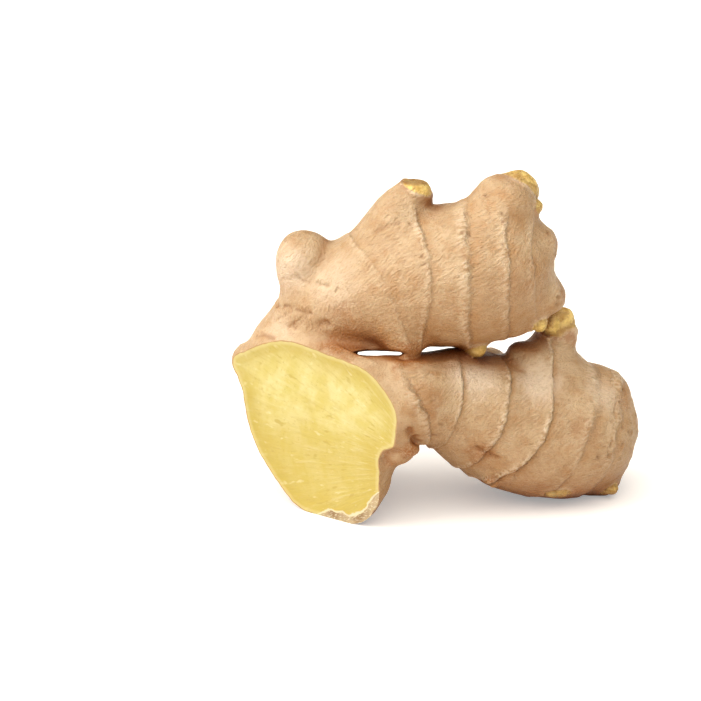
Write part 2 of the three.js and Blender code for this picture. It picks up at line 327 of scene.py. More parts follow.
class Sprout:
    """A swollen shoot along a smooth spine."""

    def __init__(self, stations, fillet, rings=(), steps=7):
        stations = np.array(stations, float)
        first = 2 * stations[0] - stations[1]
        last = 2 * stations[-1] - stations[-2]
        knots = np.vstack([first, stations, last])
        share = np.arange(steps)[:, None] / steps
        path = []
        for before, start, stop, after in zip(knots, knots[1:], knots[2:], knots[3:]):
            bend = 2 * before - 5 * start + 4 * stop - after
            twist = 3 * start - before - 3 * stop + after
            path.append(start + ((stop - before) * share + bend * share**2 + twist * share**3) / 2)
        path = np.vstack([*path, stations[-1:]])
        self.spine = path[:, :3]
        self.girth = path[:, 3]
        self.fillet = fillet
        self.rings = rings
        steps_along = np.diff(self.spine, axis=0)
        self.lengths = np.linalg.norm(steps_along, axis=1)
        self.reach = np.concatenate([[0], np.cumsum(self.lengths)])
        self.ways = steps_along / self.lengths[:, None]
        self.slopes = (np.diff(self.girth) / self.lengths).astype(np.float32)
        side = np.cross(self.ways[0], SIDE_HINT)
        sides = []
        for way in self.ways:
            side = side - way * (side @ way)
            side /= np.linalg.norm(side)
            sides.append(side)
        self.sides = np.array(sides)

    def measure(self, x, y, z):
        """Distance to the surface."""
        best = None
        for index, way in enumerate(self.ways.astype(np.float32)):
            start = self.spine[index].astype(np.float32)
            length = np.float32(self.lengths[index])
            dx, dy, dz = x - start[0], y - start[1], z - start[2]
            along = dx * way[0] + dy * way[1] + dz * way[2]
            held = np.clip(along, 0, length)
            square = dx * dx + dy * dy + dz * dz - held * (2 * along - held)
            gap = np.sqrt(np.maximum(square, 0)) - np.float32(self.girth[index]) - held * self.slopes[index]
            best = gap if best is None else np.minimum(best, gap)
        return best

    def straighten(self, places):
        """Each place as (side, rise, length along the spine), as if the shoot were straight."""
        gaps = []
        spots = []
        last = len(self.ways) - 1
        for index, (way, side) in enumerate(zip(self.ways, self.sides)):
            off = places - self.spine[index]
            along = off @ way
            held = np.clip(along, 0, self.lengths[index])
            off = off - np.outer(held, way)
            length = self.reach[index] + held
            if index == 0:
                length += np.minimum(along, 0)
            if index == last:
                length += np.maximum(along - self.lengths[index], 0)
            gaps.append(np.linalg.norm(off, axis=1) - self.girth[index] - held * self.slopes[index])
            spots.append(np.stack([off @ side, off @ np.cross(way, side), length], axis=1))
        gaps = np.array(gaps)
        weights = np.exp((gaps.min(axis=0) - gaps) / SPINE_SOFTNESS)
        weights /= weights.sum(axis=0)
        return np.einsum("ij,ijk->jk", weights, np.array(spots))


def ring_marks(straight, rings):
    """Distance past the nearest ring, that ring's strength, and the swelling towards the next ring."""
    length = straight[:, 2] + unevenness(straight, RING_WOBBLE)
    up = straight[:, :2] @ RING_UP
    front = straight[:, :2] @ RING_FRONT
    leans = np.outer(up, rings[:, 2]) + np.outer(front, rings[:, 3])
    stops = rings[:, 0] + leans
    nearest = np.argmin(np.abs(length[:, None] - stops), axis=1)
    rows = np.arange(len(length))
    bounds = np.hstack([stops[:, :1] - RING_GAP, stops, stops[:, -1:] + RING_GAP])
    after = np.clip(np.sum(stops < length[:, None], axis=1), 0, len(rings))
    low = bounds[rows, after]
    high = bounds[rows, after + 1]
    share = np.clip((length - low) / np.maximum(high - low, 1), 0, 1)
    step = share**2 * smooth_step(0, RING_LIP, high - length)
    power = np.append(rings[:, 1], rings[-1, 1])[after]
    return length - stops[rows, nearest], rings[nearest, 1], step * power


def melt(field, other, fillet):
    """Smallest of two distances, with a rounded inner corner."""
    overlap = np.maximum(fillet - np.abs(field - other), 0) / fillet
    return np.minimum(field, other) - overlap * overlap * (fillet / 4)


def field_ticks(low, high):
    """Coordinates of a block of field cells, ready to be combined."""
    ticks = [FIELD_LOW[axis] + CELL * np.arange(low[axis], high[axis]) for axis in range(3)]
    x, y, z = (line.astype(np.float32) for line in ticks)
    return x[:, None, None], y[None, :, None], z[None, None, :]


def join(field, sprout):
    """Melt a sprout into the field."""
    room = sprout.girth.max() + sprout.fillet + FIELD_ROOM
    low = np.floor((sprout.spine.min(axis=0) - room - FIELD_LOW) / CELL).astype(int)
    high = np.ceil((sprout.spine.max(axis=0) + room - FIELD_LOW) / CELL).astype(int)
    low = np.clip(low, 0, FIELD_COUNT)
    high = np.clip(high, 0, FIELD_COUNT)
    gap = sprout.measure(*field_ticks(low, high))
    region = tuple(slice(a, b) for a, b in zip(low, high))
    field[region] = melt(field[region], gap, np.float32(sprout.fillet))


def sample(field, places):
    """Field values at places, blended between cells."""
    spot = np.clip((places - FIELD_LOW) / CELL, 0, FIELD_COUNT - 1.001)
    cell = spot.astype(int)
    part = spot - cell
    total = np.zeros(len(places))
    for corner in np.ndindex(2, 2, 2):
        i, j, k = (cell + corner).T
        total += field[i, j, k] * np.prod(np.where(corner, part, 1 - part), axis=1)
    return total


def surface_normals(places, quads):
    """Unit normals of the skin at its points."""
    flat = np.cross(places[quads[:, 2]] - places[quads[:, 0]], places[quads[:, 3]] - places[quads[:, 1]])
    normals = np.zeros_like(places)
    for corner in range(4):
        np.add.at(normals, quads[:, corner], flat)
    return normals / np.linalg.norm(normals, axis=1)[:, None]


def path_distance(places, path):
    """Distance from each place to a bent line."""
    path = np.array(path, float)
    nearest = np.full(len(places), FAR)
    for start, stop in zip(path, path[1:]):
        way = stop - start
        share = np.clip((places - start) @ way / (way @ way), 0, 1)
        nearest = np.minimum(nearest, np.linalg.norm(places - start - np.outer(share, way), axis=1))
    return nearest


def inside_outline(spots, starts, stops):
    """Which flat spots lie inside an outline given by its edges."""
    across, up = spots[:, :1], spots[:, 1:]
    straddles = (starts[:, 1] > up) != (stops[:, 1] > up)
    with np.errstate(divide="ignore", invalid="ignore"):
        share = (up - starts[:, 1]) / (stops[:, 1] - starts[:, 1])
        beyond = across < starts[:, 0] + share * (stops[:, 0] - starts[:, 0])
    return np.sum(straddles & beyond, axis=1) % 2 == 1


def torn_reach(across, up, depth):
    """How far a spot of the cut face lies inside the torn skin."""
    window = smooth_step(*TORN_ACROSS, across) * smooth_step(*TORN_UP, up)
    return (TORN_WIDTH + TORN_CLEAR) * window - TORN_CLEAR - depth


# Form: the mother piece carries two fingers, which stay apart at the crotch.
mother = [Sprout(stations, MOTHER_FILLET) for stations in (MOTHER_TOP, MOTHER_BELLY, MOTHER_FOOT)]
mother += [Sprout(SHOULDER, SMALL_FILLET), Sprout(BACK_LOBE, FINGER_FILLET), Sprout(MOTHER_KNOB, WIDE_FILLET)]
upper_back_knob = Sprout(UPPER_BACK_KNOB, WIDE_FILLET, KNOB_RINGS)
upper = [Sprout(UPPER_FINGER, WIDE_FILLET, UPPER_RINGS)]
upper += [Sprout(stations, KNOB_FILLET) for stations in UPPER_BROAD_KNOBS]
upper += [Sprout(stations, KNOB_FILLET) for stations in UPPER_SMALL_KNOBS]
lower_broad_knob = Sprout(LOWER_BROAD_KNOB, WIDE_FILLET)
lower_back_knob = Sprout(LOWER_BACK_KNOB, WIDE_FILLET)
lower = [Sprout(LOWER_FINGER, FINGER_FILLET, LOWER_RINGS)]
lower += [Sprout(stations, SMALL_FILLET) for stations in LOWER_SMALL_KNOBS]
lobe = Sprout(FRONT_LOBE, LOBE_FILLET)
lobe_nub = Sprout(LOBE_NUB, BUD_FILLET)
buds = [Sprout(stations, BUD_FILLET) for stations in BUDS]

mother_field = np.full(FIELD_COUNT, FAR, np.float32)
for sprout in mother:
    join(mother_field, sprout)
upper_field = mother_field.copy()
for sprout in [*upper, upper_back_knob]:
    join(upper_field, sprout)
lower_field = mother_field
for sprout in [lower[0], lower_broad_knob, *lower[1:], lower_back_knob]:
    join(lower_field, sprout)
field = melt(upper_field, lower_field, np.float32(CROTCH_FILLET))
x, y, z = field_ticks(np.zeros(3, int), FIELD_COUNT)
for across, up, behind, radius in HOLLOWS:
    middle = CUT_POINT + CUT_SIDE * across - CUT_OUT * behind + np.array([0, 0, up])
    away = np.sqrt((x - middle[0]) ** 2 + (y - middle[1]) ** 2 + (z - middle[2]) ** 2)
    field = -melt(-field, (away - radius).astype(np.float32), np.float32(HOLLOW_FILLET))
slot_height, slot_fall, slot_half = CROTCH_SLOT
slot_width = slot_half * smooth_step(*CROTCH_OPENS, x) * smooth_step(*CROTCH_CLOSES, x)
slot = np.abs(z - slot_height - slot_fall * y) - slot_width
field = np.where(slot_width > 0.05, -melt(-field, slot, SLOT_FILLET), field).astype(np.float32)
join(field, lobe)
join(field, lobe_nub)
body_field = field.copy()
for sprout in buds:
    join(field, sprout)
top_middle, top_way = (np.array(value, np.float32) for value in FLAT_TOP)
above = sum((axis - middle) * way for axis, middle, way in zip((x, y, z), top_middle, top_way))
field = np.where(np.abs(x - top_middle[0]) < FLAT_REACH, np.maximum(field, above), field).astype(np.float32)

grid = openvdb.FloatGrid(FAR)
grid.copyFromArray(field)
skin_points, quads = grid.convertToQuads(0.0)
skin_points = FIELD_LOW + CELL * np.array(skin_points, float)
quads = np.array(quads, int)
normals = surface_normals(skin_points, quads)
if np.sum(normals * (skin_points - skin_points.mean(axis=0))) < 0:
    quads = quads[:, ::-1]
    normals = -normals
total = len(skin_points)
spread = tuple(skin_points.astype(np.float32).T)

# Which shoot each point of the skin grew from, where on it, and how far from its nearest ring.
nearest = np.full(total, FAR * 10)
second = np.full(total, FAR * 10)
grown = np.zeros((total, 3))
ring = np.full(total, FAR)
ring_power = np.zeros(total)
swell = np.zeros(total)
mother_way = [CUT_POINT + CUT_OUT * out + [0, 0, up] for out, up in MOTHER_LINE]
mother_line = Sprout([[*spot, 1] for spot in mother_way], 1, MOTHER_RINGS)
families = [
    (mother_line, mother), (upper[0], upper), (lower[0], [*lower, lower_broad_knob]),
    (upper_back_knob, [upper_back_knob]), (lower_back_knob, [lower_back_knob]), (lobe, [lobe, lobe_nub]),
]
for number, (shoot, members) in enumerate(families):
    gap = np.min([member.measure(*spread) for member in members], axis=0)
    straight = shoot.straighten(skin_points)
    closer = gap < nearest
    second = np.where(closer, nearest, np.minimum(second, gap))
    nearest = np.where(closer, gap, nearest)
    grown[closer] = straight[closer] + GRAIN_SHIFT * number
    ring[closer] = FAR
    ring_power[closer] = 0
    swell[closer] = 0
    if shoot.rings:
        gap_to_ring, power, step = ring_marks(straight, np.array(shoot.rings))
        ring[closer] = gap_to_ring[closer]
        ring_power[closer] = power[closer]
        swell[closer] = step[closer]
own = smooth_step(*OWN_GAP, second - nearest)
knob_gap = np.min([knob.measure(*spread) for knob in upper[1:1 + len(UPPER_BROAD_KNOBS)]], axis=0)
ring_hold = own * smooth_step(*KNOB_GAP, upper[0].measure(*spread) - knob_gap)

# Buds, and the torn sheath that stands up round each.
bud = np.zeros(total)
sheath = np.zeros(total)
scales = np.zeros(total)
scale_edge = np.zeros(total)
body_gap = sample(body_field, skin_points)
for sprout in buds:
    gap = sprout.measure(*spread)
    bud = np.maximum(bud, smooth_step(0.35, -0.15, gap - body_gap))
    sheath = np.maximum(sheath, bell(gap, 0.7, 0.7))
    close = np.flatnonzero(gap < 1.0)
    lie = sprout.straighten(skin_points[close])
    turn = np.arctan2(lie[:, 1], lie[:, 0])
    count = lie[:, 2] / (BUD_SCALE * sprout.girth[-1]) + BUD_LEAN * np.cos(turn) + BUD_WAVE * np.cos(3 * turn)
    share = count - np.floor(count)
    scales[close] = np.maximum(scales[close], share * smooth_step(1.0, 0.82, share))
    scale_edge[close] = np.maximum(scale_edge[close], smooth_step(0.80, 0.93, share))
edge_middle, edge_way = (np.array(value) for value in FLAT_EDGE)
over_edge = (skin_points - edge_middle) @ edge_way
near_flat = np.linalg.norm(skin_points - edge_middle, axis=1) < FLAT_REACH
bud = np.where(near_flat, np.maximum(bud, smooth_step(-0.15, 0.25, over_edge)), bud)
over_top = (skin_points - top_middle) @ top_way
sheath = np.where(near_flat, np.maximum(sheath, bell(over_edge, -0.5, 0.6)), sheath)
sheath *= 1 - bud
bud_edge = np.where(near_flat, 0, bud * smooth_step(1.6, 0.1, body_gap))
dry_and_crease_shade = np.where(near_flat, 0.8 * smooth_step(-0.75, -0.1, over_top), 0)

# Relief of the skin: steps and lips at the rings, soft lumps, wrinkles, flakes and creases.
bare = 1 - bud
patchy = smooth_step(-0.7, 0.5, soft_noise(grown / [6, 6, 20], 11))
ringed = ring_hold * bare * ring_power * (0.35 + 0.65 * patchy) * smooth_step(*RING_BAND, np.abs(ring))
lip = LIP_HEIGHT * bell(ring, -0.7, 0.6) - LIP_HEIGHT * bell(ring, 0.5, 0.5)
lumps = unevenness(skin_points, LUMPS)
wrinkles = unevenness(grown, WRINKLES)
relief = lumps * bare + RING_STEP * swell * ring_hold * bare + lip * ringed + wrinkles * bare * own
relief += SHEATH_HEIGHT * sheath * (0.4 + 0.6 * smooth_step(-0.5, 0.5, soft_noise(skin_points / 1.7, 41)))
relief += bud * (BUD_STEP * scales + BUD_GRAIN * soft_noise(skin_points / [1.3, 1.3, 2.6], 42))
dry_and_crease_shade = np.maximum(dry_and_crease_shade, 0.45 * bud * scale_edge)

flaky = np.zeros(total)
for middle, radius in FLAKES:
    away = np.linalg.norm(skin_points - middle, axis=1)
    flaky = np.maximum(flaky, smooth_step(radius, radius * 0.4, away))
flaky *= bare
scale_edges = np.abs(soft_noise(skin_points / [2.6, 2.6, 1.6], 51))
relief += flaky * (FLAKE_HEIGHT * smooth_step(0.0, 0.25, scale_edges) - FLAKE_SINK)
dry_and_crease_shade = np.maximum(dry_and_crease_shade, 0.12 * flaky * smooth_step(0.22, 0.02, scale_edges))

stain_and_shade = np.zeros(total)
mottle = unevenness(skin_points, MOTTLE)
for middle, radius, strength in STAINS_AND_SHADE:
    away = np.linalg.norm(skin_points - middle, axis=1) / radius
    stain_and_shade = np.maximum(stain_and_shade, strength * smooth_step(1.0, 0.3, away + 0.25 * mottle))
painted_highlight = np.zeros(total)
for middle, radius, strength in PAINTED_HIGHLIGHTS:
    away = np.linalg.norm(skin_points - middle, axis=1) / radius
    painted_highlight = np.maximum(painted_highlight, strength * smooth_step(1.0, 0.2, away + 0.12 * mottle))
# Undersides also take painted shade, held with the stains: darker the more a point faces down.
underside_shade = smooth_step(0.45, -0.8, normals[:, 2])
stain_and_shade = np.maximum(stain_and_shade, UNDER_SHADE * underside_shade) * bare

ragged = 0.5 * soft_noise(skin_points / 1.6, 61)
for path, width, depth in CREASES:
    snapped = []
    for spot in path:
        snapped.append(skin_points[np.argmin(np.linalg.norm(skin_points - spot, axis=1))])
    across = path_distance(skin_points, snapped) + ragged * width
    line = bell(across, 0, width)
    relief -= depth * line
    # Each crease is also darkened along its line: painted shade.
    if depth > 0:
        dry_and_crease_shade = np.maximum(dry_and_crease_shade, min(0.3 + 0.5 * depth, 0.9) * line**5 * bare)

draw = np.random.default_rng(PIT_SEED)
scar = np.zeros(total)
for spot in PITS:
    away = np.linalg.norm(skin_points - spot, axis=1)
    middle = np.argmin(away)
    away = np.linalg.norm(skin_points - skin_points[middle], axis=1)
    size = draw.uniform(*PIT_SIZES)
    relief += PIT_LIP * bell(away, 1.2 * size, 0.6 * size) - PIT_DEPTH * bell(away, 0, size)
    scar = np.maximum(scar, draw.uniform(*PIT_DARKNESS) * bell(away, 0, size))
dry_and_crease_shade = np.maximum(dry_and_crease_shade, scar * bare)

skin_points = skin_points + normals * relief[:, None]
skin_points[:, 2] = np.maximum(skin_points[:, 2], 0)
normals = surface_normals(skin_points, quads)

# Painted shade for crevices and undersides: how closely the body and the floor close in ahead of each point.
shade = np.zeros(total)
for reach in SHADE_REACHES:
    ahead = skin_points + normals * reach
    clear = np.minimum(sample(field, ahead), np.maximum(ahead[:, 2], 0))
    shade += np.clip(1 - clear / reach, 0, 1) / len(SHADE_REACHES)

mesh = bpy.data.meshes.new("ginger_root")
mesh.from_pydata(skin_points.tolist(), [], quads.tolist())
layers = {
    "ring": ring, "ringed": ringed, "bud": bud, "dry_and_crease_shade": dry_and_crease_shade, "shade": shade, "flaky": flaky,
    "sheath": sheath, "stain_and_shade": stain_and_shade, "painted_highlight": painted_highlight, "own": own, "bud_edge": bud_edge,
    "rim": np.zeros(total), "torn": np.full(total, -FAR),
}
for name, values in layers.items():
    mesh.attributes.new(name, "FLOAT", "POINT").data.foreach_set("value", values.astype(np.float32))
straightened = mesh.attributes.new("grown", "FLOAT_VECTOR", "POINT")
straightened.data.foreach_set("vector", grown.astype(np.float32).ravel())

# Cut face: the skin is cut open, and the opening filled with fine triangles.
shape = bmesh.new()
shape.from_mesh(mesh)
everything = shape.verts[:] + shape.edges[:] + shape.faces[:]
bmesh.ops.bisect_plane(
    shape, geom=everything, dist=CUT_TOLERANCE, plane_co=CUT_POINT, plane_no=CUT_OUT, clear_outer=True)
rim_edges = [edge for edge in shape.edges if edge.is_boundary]
rim_verts = list({vert: None for edge in rim_edges for vert in edge.verts})
order = {vert: index for index, vert in enumerate(rim_verts)}
rim_places = np.array([vert.co for vert in rim_verts])
flat_rim = np.stack([(rim_places - CUT_POINT) @ CUT_SIDE, rim_places[:, 2]], axis=1)
low = flat_rim.min(axis=0)
high = flat_rim.max(axis=0)
inner = []
for row, height in enumerate(np.arange(low[1], high[1], CUT_PITCH * CUT_ROW)):
    for across in np.arange(low[0] + CUT_PITCH / 2 * (row % 2), high[0], CUT_PITCH):
        inner.append((across, height))
inner = np.array(inner)
links = [(order[edge.verts[0]], order[edge.verts[1]]) for edge in rim_edges]
starts, stops = (flat_rim[[link[end] for link in links]] for end in (0, 1))
clear_of_rim = np.array([np.min(np.linalg.norm(flat_rim - spot, axis=1)) for spot in inner]) > CUT_CLEAR
inner = inner[inside_outline(inner, starts, stops) & clear_of_rim]
corners = [Vector(spot) for spot in np.vstack([flat_rim, inner])]
flat_verts, _, flat_faces, origins, _, _ = delaunay_2d_cdt(corners, links, [], 1, 1e-5, True)
middles = np.array([np.mean([flat_verts[index] for index in loop], axis=0) for loop in flat_faces])
filled = inside_outline(middles, starts, stops)
rim_layer = shape.verts.layers.float["rim"]
torn_layer = shape.verts.layers.float["torn"]
for vert, spot in zip(rim_verts, flat_rim):
    vert[torn_layer] = torn_reach(spot[0], spot[1], 0.0)
face_verts = []
for spot, origin in zip(flat_verts, origins):
    known = [index for index in origin if index < len(rim_verts)]
    if known:
        face_verts.append(rim_verts[known[0]])
    else:
        depth = float(np.min(np.linalg.norm(flat_rim - np.array(spot), axis=1)))
        torn = torn_reach(spot.x, spot.y, depth)
        fray = TORN_FRAY * soft_noise(np.array([[spot.x / 1.2 + spot.y / 4, spot.y / 1.2, 0.0]]), 71)[0]
        sink = FLESH_SINK * smooth_step(0.5, 4.0, depth)
        sink += (TORN_SLOPE * torn + fray) * smooth_step(0.0, 1.0, torn)
        sink *= smooth_step(0.0, 1.2, depth)
        vert = shape.verts.new(CUT_POINT + CUT_SIDE * spot.x + np.array([0, 0, spot.y]) - CUT_OUT * sink)
        vert[rim_layer] = depth
        vert[torn_layer] = torn
        face_verts.append(vert)
for loop, wanted in zip(flat_faces, filled):
    if wanted:
        face = shape.faces.new([face_verts[index] for index in loop])
        face.material_index = 1
bmesh.ops.recalc_face_normals(shape, faces=shape.faces[:])
for face in shape.faces:
    face.smooth = True
for edge in rim_edges:
    edge.smooth = False
bmesh.ops.scale(shape, vec=(MM, MM, MM), verts=shape.verts[:])
shape.to_mesh(mesh)
shape.free()

root = bpy.data.objects.new("ginger_root", mesh)
bpy.context.collection.objects.link(root)
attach(root, "root")
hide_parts("rhizome")


def add(tree, kind, inputs=None, **settings):
    """Add a shader node, with its settings and its inputs as links or values."""
    node = tree.nodes.new(kind)
    for name, value in settings.items():
        setattr(node, name, value)
    for name, value in (inputs or {}).items():
        if isinstance(value, bpy.types.NodeSocket):
            tree.links.new(value, node.inputs[name])
        else:
            node.inputs[name].default_value = value
    return node


def named(tree, name, output="Fac"):
    """A value stored on the mesh."""
    return add(tree, "ShaderNodeAttribute", attribute_name=name).outputs[output]


def calc(tree, operation, first, second=0.5, third=0.5):
    """One step of arithmetic on two or three values."""
    return add(tree, "ShaderNodeMath", {0: first, 1: second, 2: third}, operation=operation).outputs[0]


def product(tree, *values):
    """Values multiplied together."""
    result = values[0]
    for value in values[1:]:
        result = calc(tree, "MULTIPLY", result, value)
    return result


def along(tree, vector, way):
    """How far a place lies along a way."""
    node = add(tree, "ShaderNodeVectorMath", {0: vector, 1: tuple(way)}, operation="DOT_PRODUCT")
    return node.outputs["Value"]


def between(tree, value, low, high):
    """Rise from 0 to 1 as a value goes from one limit to another."""
    inputs = {"Value": value, "From Min": low, "From Max": high}
    return add(tree, "ShaderNodeMapRange", inputs, interpolation_type="SMOOTHSTEP").outputs["Result"]


def blend(tree, factor, first, second):
    """One colour laid over another."""
    return add(tree, "ShaderNodeMix", {0: factor, 6: first, 7: second}, data_type="RGBA").outputs[2]


def tinted(tree, colour, tints):
    """A colour with tints over it, each a value, its two limits, its strength and its own colour."""
    for value, low, high, strength, tint in tints:
        colour = blend(tree, product(tree, between(tree, value, low, high), strength), colour, tint)
    return colour


def noise(tree, vector, scale, detail=2.0, roughness=0.5):
    """Soft noise at a scale."""
    inputs = {"Vector": vector, "Scale": scale, "Detail": detail, "Roughness": roughness}
    return add(tree, "ShaderNodeTexNoise", inputs).outputs["Fac"]


def held(tree, value, share):
    """A noise value that goes back to its middle as a share falls to 0."""
    return calc(tree, "MULTIPLY_ADD", calc(tree, "SUBTRACT", value, 0.5), share, 0.5)


def stretched(tree, vector, length):
    """A place with its third axis drawn together, so that noise runs long there."""
    inputs = {0: vector, 1: (1, 1, length)}
    return add(tree, "ShaderNodeVectorMath", inputs, operation="MULTIPLY").outputs[0]


def new_group(name, inputs, outputs):
    """An empty node group with its sockets."""
    group = bpy.data.node_groups.new(name, "ShaderNodeTree")
    for label, kind in inputs:
        group.interface.new_socket(label, in_out="INPUT", socket_type=kind)
    for label in outputs:
        group.interface.new_socket(label, in_out="OUTPUT", socket_type="NodeSocketFloat")
    return group, group.nodes.new("NodeGroupInput"), group.nodes.new("NodeGroupOutput")


# Plant grain, for skin and flesh: fine grain and long streaks along the third axis, and broad blotches.
grain, grain_in, grain_out = new_group(
    "plant_grain", [("Vector", "NodeSocketVector")], ["Fine", "Streaks", "Blotch"])
grain_vector = grain_in.outputs[0]
grain.links.new(noise(grain, stretched(grain, grain_vector, 0.3), 2.4, 2.0, 0.6), grain_out.inputs["Fine"])
grain.links.new(noise(grain, stretched(grain, grain_vector, 0.1), 0.9, 3.0, 0.6), grain_out.inputs["Streaks"])
grain.links.new(noise(grain, grain_vector, 0.16, 3.0, 0.55), grain_out.inputs["Blotch"])

# Scattered specks, for skin and flesh.
specks, specks_in, specks_out = new_group(
    "scattered_specks", [("Vector", "NodeSocketVector"), ("Scale", "NodeSocketFloat")], ["Mask"])
dots = add(specks, "ShaderNodeTexVoronoi", {"Vector": specks_in.outputs[0], "Scale": specks_in.outputs[1]})
small = between(specks, dots.outputs["Distance"], 0.22, 0.10)
thinned = add(specks, "ShaderNodeSeparateColor", {"Color": dots.outputs["Color"]})
few = between(specks, thinned.outputs[0], 0.55, 0.75)
specks.links.new(calc(specks, "MULTIPLY", small, few), specks_out.inputs["Mask"])


def use_group(tree, group, inputs):
    """A node group placed in a material."""
    return add(tree, "ShaderNodeGroup", inputs, node_tree=group)


def new_material(name):
    """A node material, its tree and its shader."""
    material = bpy.data.materials.new(name)
    material.use_nodes = True
    tree = material.node_tree
    return material, tree, tree.nodes["Principled BSDF"]


def let_light_in(shader, weight, reach, scale):
    """Light that sinks into the surface: its weight, its reach in each colour, and its scale."""
    shader.inputs["Subsurface Weight"].default_value = weight
    shader.inputs["Subsurface Radius"].default_value = reach
    shader.inputs["Subsurface Scale"].default_value = scale


def place_in_mm(tree):
    """Where a point of the surface lies, in millimetres."""
    place = add(tree, "ShaderNodeTexCoord").outputs["Object"]
    return add(tree, "ShaderNodeVectorMath", {0: place, 1: (1 / MM,) * 3}, operation="MULTIPLY").outputs[0]


# Skin: dry tan with lengthwise grain, pale ring lips, brown ring lines, brown scars and yellow buds.
TAN = (0.488, 0.304, 0.152, 1)
PALE_TAN = (0.575, 0.392, 0.218, 1)
ORANGE_TAN = (0.445, 0.228, 0.083, 1)
HIGHLIGHT_TAN = (0.74, 0.565, 0.385, 1)
GRAIN_BROWN = (0.34, 0.2, 0.094, 1)
RING_PALE = (0.77, 0.59, 0.39, 1)
RING_BROWN = (0.275, 0.150, 0.067, 1)
STAIN_AND_SHADE_BROWN = (0.33, 0.115, 0.022, 1)
DRY_AND_SHADE_BROWN = (0.25, 0.105, 0.03, 1)
SHADE_ORANGE = (0.335, 0.125, 0.03, 1)
CREVICE_SHADE_BROWN = (0.2, 0.058, 0.012, 1)
BUD_GOLD = (0.64, 0.4, 0.1, 1)
BUD_YELLOW = (0.88, 0.63, 0.2, 1)
BUD_BROWN = (0.333, 0.167, 0.054, 1)

# The crumple runs at 45 degrees to the shoot: the ways over, beside and along its folds.
FOLD_OVER = (0.568, -0.421, -0.707)
FOLD_BESIDE = (0.595, 0.804, 0)
FOLD_ALONG = (0.25, -0.185, 0.311)

# How dull the skin is, how much glossier the buds are, the depth of its grain in metres, and its shine.
SKIN_ROUGHNESS = (0.28, 0.44)
BUD_GLOSS = 0.16
SKIN_BUMP = 0.0006
SKIN_SPECULAR = 0.38

skin, tree, shader = new_material("ginger_skin")
place = place_in_mm(tree)
own_at = named(tree, "own")
grown_at = named(tree, "grown", "Vector")
ringed_at = named(tree, "ringed")
bud_at = named(tree, "bud")
dry_and_crease_shade_at = named(tree, "dry_and_crease_shade")
shade_at = named(tree, "shade")
flaky_at = named(tree, "flaky")
sheath_at = named(tree, "sheath")
stain_and_shade_at = named(tree, "stain_and_shade")
grain_here = use_group(tree, grain, {"Vector": grown_at}).outputs
fine = held(tree, grain_here["Fine"], own_at)
streaks = held(tree, grain_here["Streaks"], own_at)
sand = noise(tree, place, 1.5, 3.0, 0.65)
folds = {"X": FOLD_OVER, "Y": FOLD_BESIDE, "Z": FOLD_ALONG}
folded = {axis: along(tree, grown_at, way) for axis, way in folds.items()}
crumple = noise(tree, add(tree, "ShaderNodeCombineXYZ", folded).outputs[0], 1.3, 2.0, 0.5)
crumple = held(tree, crumple, own_at)
patches = noise(tree, place, 0.3, 4.0, 0.65)
clouds = noise(tree, place, 0.09, 4.0, 0.65)
broad = use_group(tree, grain, {"Vector": place}).outputs["Blotch"]
flecks = use_group(tree, specks, {"Vector": place, "Scale": 0.5}).outputs[0]
ring_at = calc(tree, "MULTIPLY_ADD", calc(tree, "SUBTRACT", sand, 0.5), 1.6, named(tree, "ring"))

tan = blend(tree, between(tree, broad, 0.35, 0.65), TAN, PALE_TAN)
tan = tinted(tree, tan, [
    (clouds, 0.5, 0.68, 0.7, ORANGE_TAN), (patches, 0.52, 0.66, 0.4, ORANGE_TAN),
    (patches, 0.48, 0.34, 0.4, PALE_TAN), (streaks, 0.48, 0.3, 0.25, ORANGE_TAN),
    (crumple, 0.52, 0.7, 0.4, PALE_TAN), (crumple, 0.47, 0.3, 0.22, GRAIN_BROWN),
    (fine, 0.46, 0.3, 0.2, GRAIN_BROWN), (sand, 0.45, 0.3, 0.35, GRAIN_BROWN),
])
tan = blend(tree, product(tree, flecks, 0.3), tan, GRAIN_BROWN)
# Painted highlights: paler skin where the lights catch it.
tan = blend(tree, product(tree, named(tree, "painted_highlight"), between(tree, crumple, 0.0, 0.5)), tan, HIGHLIGHT_TAN)
# Painted shadow: an orange band just past each ring, where its step drops away.
ring_shadow = product(tree, between(tree, ring_at, 0.0, 0.5), between(tree, ring_at, 2.8, 0.6), ringed_at)
tan = blend(tree, product(tree, ring_shadow, 0.55), tan, ORANGE_TAN)
lip_line = product(tree, between(tree, ring_at, -3.0, -0.6), between(tree, ring_at, 0.05, -0.25), ringed_at)
tan = blend(tree, product(tree, lip_line, between(tree, crumple, 0.38, 0.6), 0.85), tan, RING_PALE)
dotted = between(tree, noise(tree, place, 0.7, 3.0, 0.6), 0.45, 0.62)
dark_line = product(tree, between(tree, ring_at, -0.2, 0.05), between(tree, ring_at, 0.5, 0.15), ringed_at)
tan = blend(tree, product(tree, dark_line, calc(tree, "MULTIPLY_ADD", dotted, 0.6, 0.08)), tan, RING_BROWN)
tan = blend(tree, product(tree, flaky_at, between(tree, sand, 0.52, 0.38), 0.15), tan, STAIN_AND_SHADE_BROWN)
